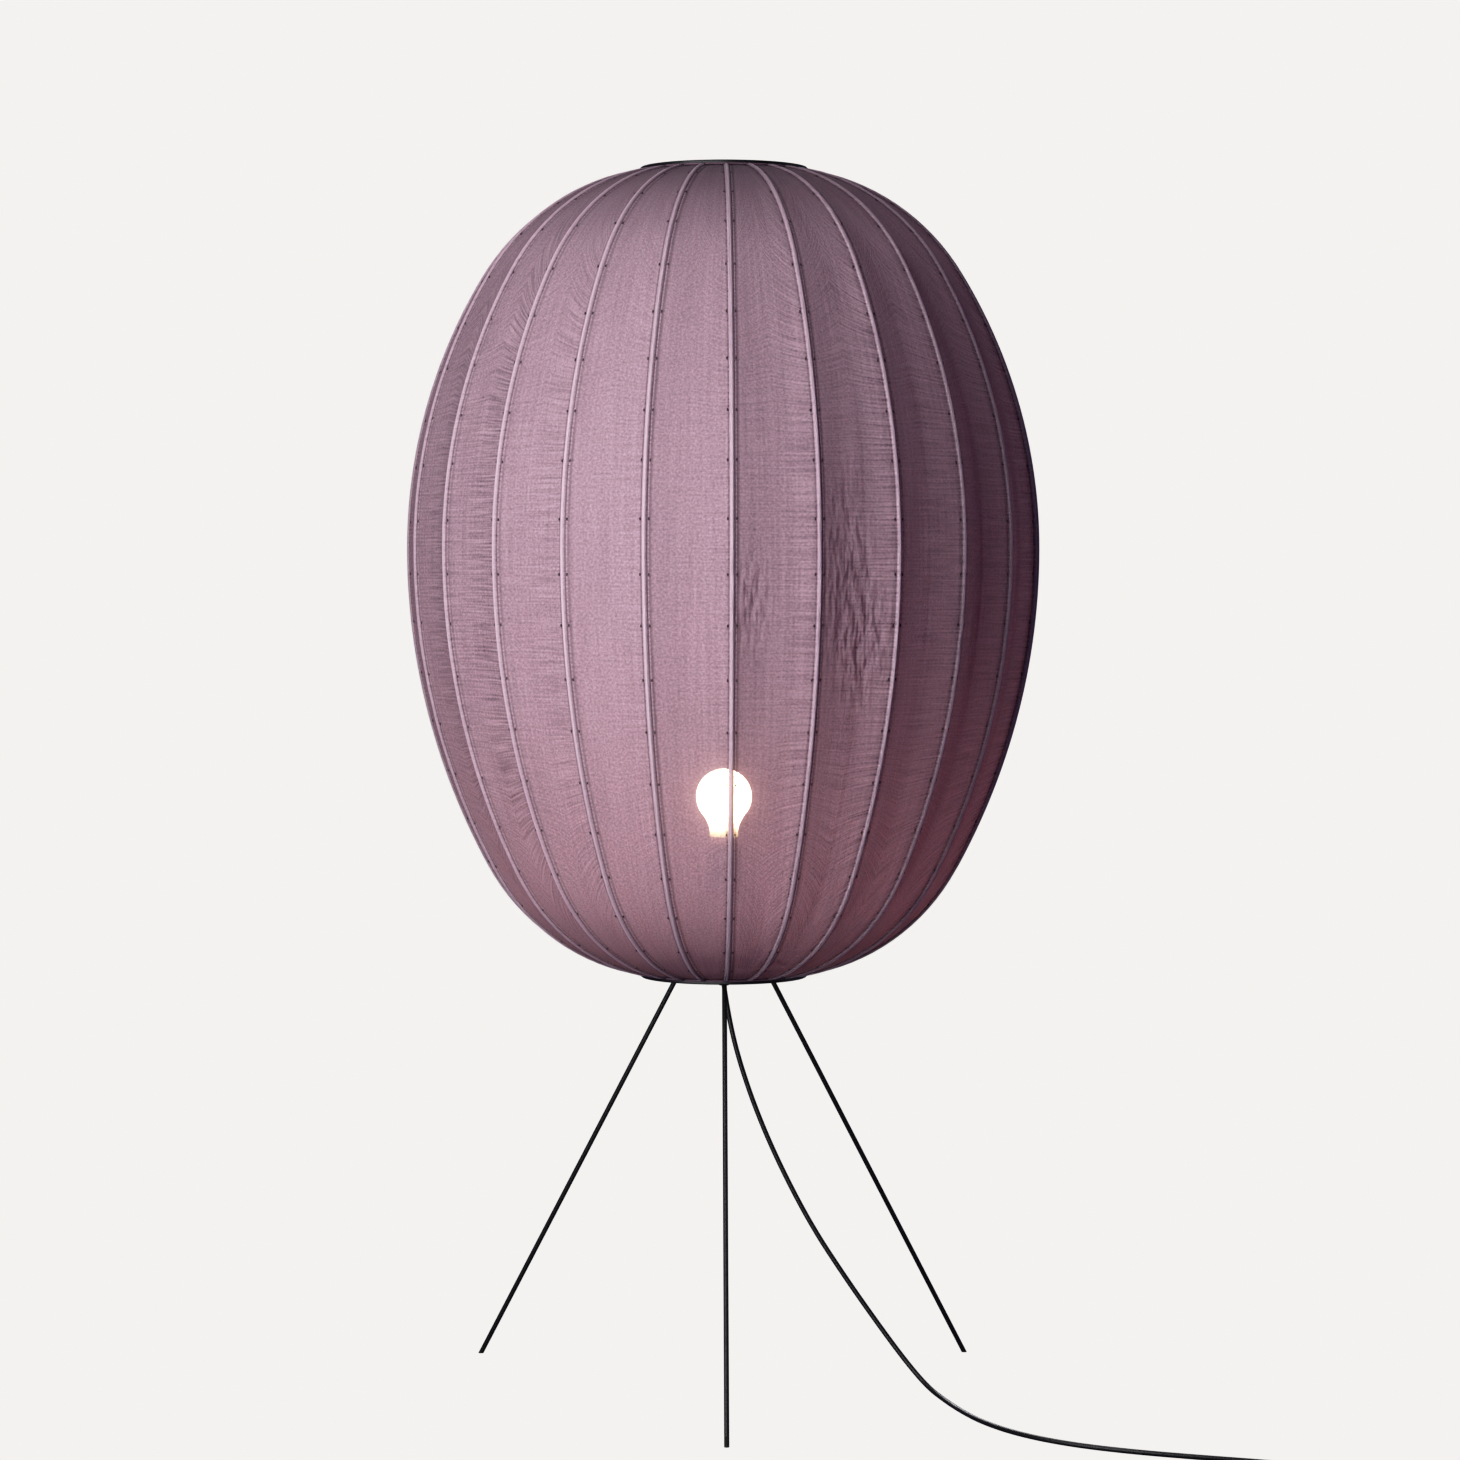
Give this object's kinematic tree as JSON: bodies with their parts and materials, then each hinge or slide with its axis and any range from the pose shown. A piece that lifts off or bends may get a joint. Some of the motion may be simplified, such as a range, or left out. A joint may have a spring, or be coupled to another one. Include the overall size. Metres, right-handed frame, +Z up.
{
  "type": "knitted shade floor lamp",
  "caption": "Floor lamp with an egg-shaped knitted shade stretched over sprung ribs, on a thin steel tripod, with a screw-in bulb and a switched mains cord.",
  "frame": {"origin": "on the floor under the lamp's axis", "axes": "+Z up along the lamp's axis, front of the lamp at -Y"},
  "size_m": [0.9239, 0.8289, 1.2515],
  "materials": {
    "mauve_knit": "fine weft knit",
    "mauve_tape": "woven tape",
    "fibreglass": "pultruded",
    "black_plastic": "moulded, satin",
    "black_steel": "powder coated, fine matt",
    "black_rubber": "matt",
    "zinc_steel": "zinc plated",
    "white_ceramic": "glazed ceramic",
    "brass": "stamped",
    "pin_brass": "nickel plated",
    "black_glass": "fused glass",
    "cap_aluminium": "rolled",
    "opal_glass": "opal, lit",
    "black_cord": "round sheathed mains cord",
    "tie_plastic": "strap",
    "button_plastic": "moulded"
  },
  "bodies": {
    "lamp": {"knitted_shade": "mauve_knit", "rod_tunnel_tapes": "mauve_tape", "top_ring": "black_plastic", "bottom_ring": "black_plastic", "base_plate": "black_steel", "leg_sockets": "black_steel", "leg_1": "black_steel", "leg_2": "black_steel", "leg_3": "black_steel", "foot_tip_1": "black_rubber", "foot_tip_2": "black_rubber", "foot_tip_3": "black_rubber", "stem_tube": "zinc_steel", "stem_nuts": "zinc_steel", "cord_bushing": "black_plastic", "cord_riser": "black_cord", "holder_base": "black_plastic", "holder_shell": "black_plastic", "contact_carrier": "white_ceramic", "centre_contact": "brass", "side_contact": "brass", "cord_run": "black_cord", "cord_link": "black_cord", "cord_coil": "black_cord", "coil_tie": "tie_plastic", "switch_base": "black_plastic", "switch_cover": "black_plastic", "plug_body": "black_plastic", "plug_pins": "pin_brass", "rib_rod_01": "fibreglass", "rib_rod_02": "fibreglass", "rib_rod_03": "fibreglass", "rib_rod_04": "fibreglass", "rib_rod_05": "fibreglass", "rib_rod_06": "fibreglass", "rib_rod_07": "fibreglass", "rib_rod_08": "fibreglass", "rib_rod_09": "fibreglass", "rib_rod_10": "fibreglass", "rib_rod_11": "fibreglass", "rib_rod_12": "fibreglass", "rib_rod_13": "fibreglass", "rib_rod_14": "fibreglass", "rib_rod_15": "fibreglass", "rib_rod_16": "fibreglass", "rib_rod_17": "fibreglass", "rib_rod_18": "fibreglass", "rib_rod_19": "fibreglass", "rib_rod_20": "fibreglass", "rib_rod_21": "fibreglass", "rib_rod_22": "fibreglass", "rib_rod_23": "fibreglass", "rib_rod_24": "fibreglass"},
    "bulb": {"bulb_contact": "brass", "bulb_insulator": "black_glass", "bulb_cap": "cap_aluminium", "bulb_globe": "opal_glass"},
    "switch_button": {"switch_button": "button_plastic"}
  },
  "joints": [
    {"name": "bulb_unscrew", "type": "hinge", "parent": "lamp", "child": "bulb", "pos_m": [0, 0, 0.6075], "axis": [0, 0, 1], "range_deg": [0, 1260]},
    {"name": "button_press", "type": "slide", "parent": "lamp", "child": "switch_button", "axis": [0, 0, -1], "range_m": [0, 0.0025], "stiffness_N_per_m": 400, "springref_m": -0.003}
  ]
}
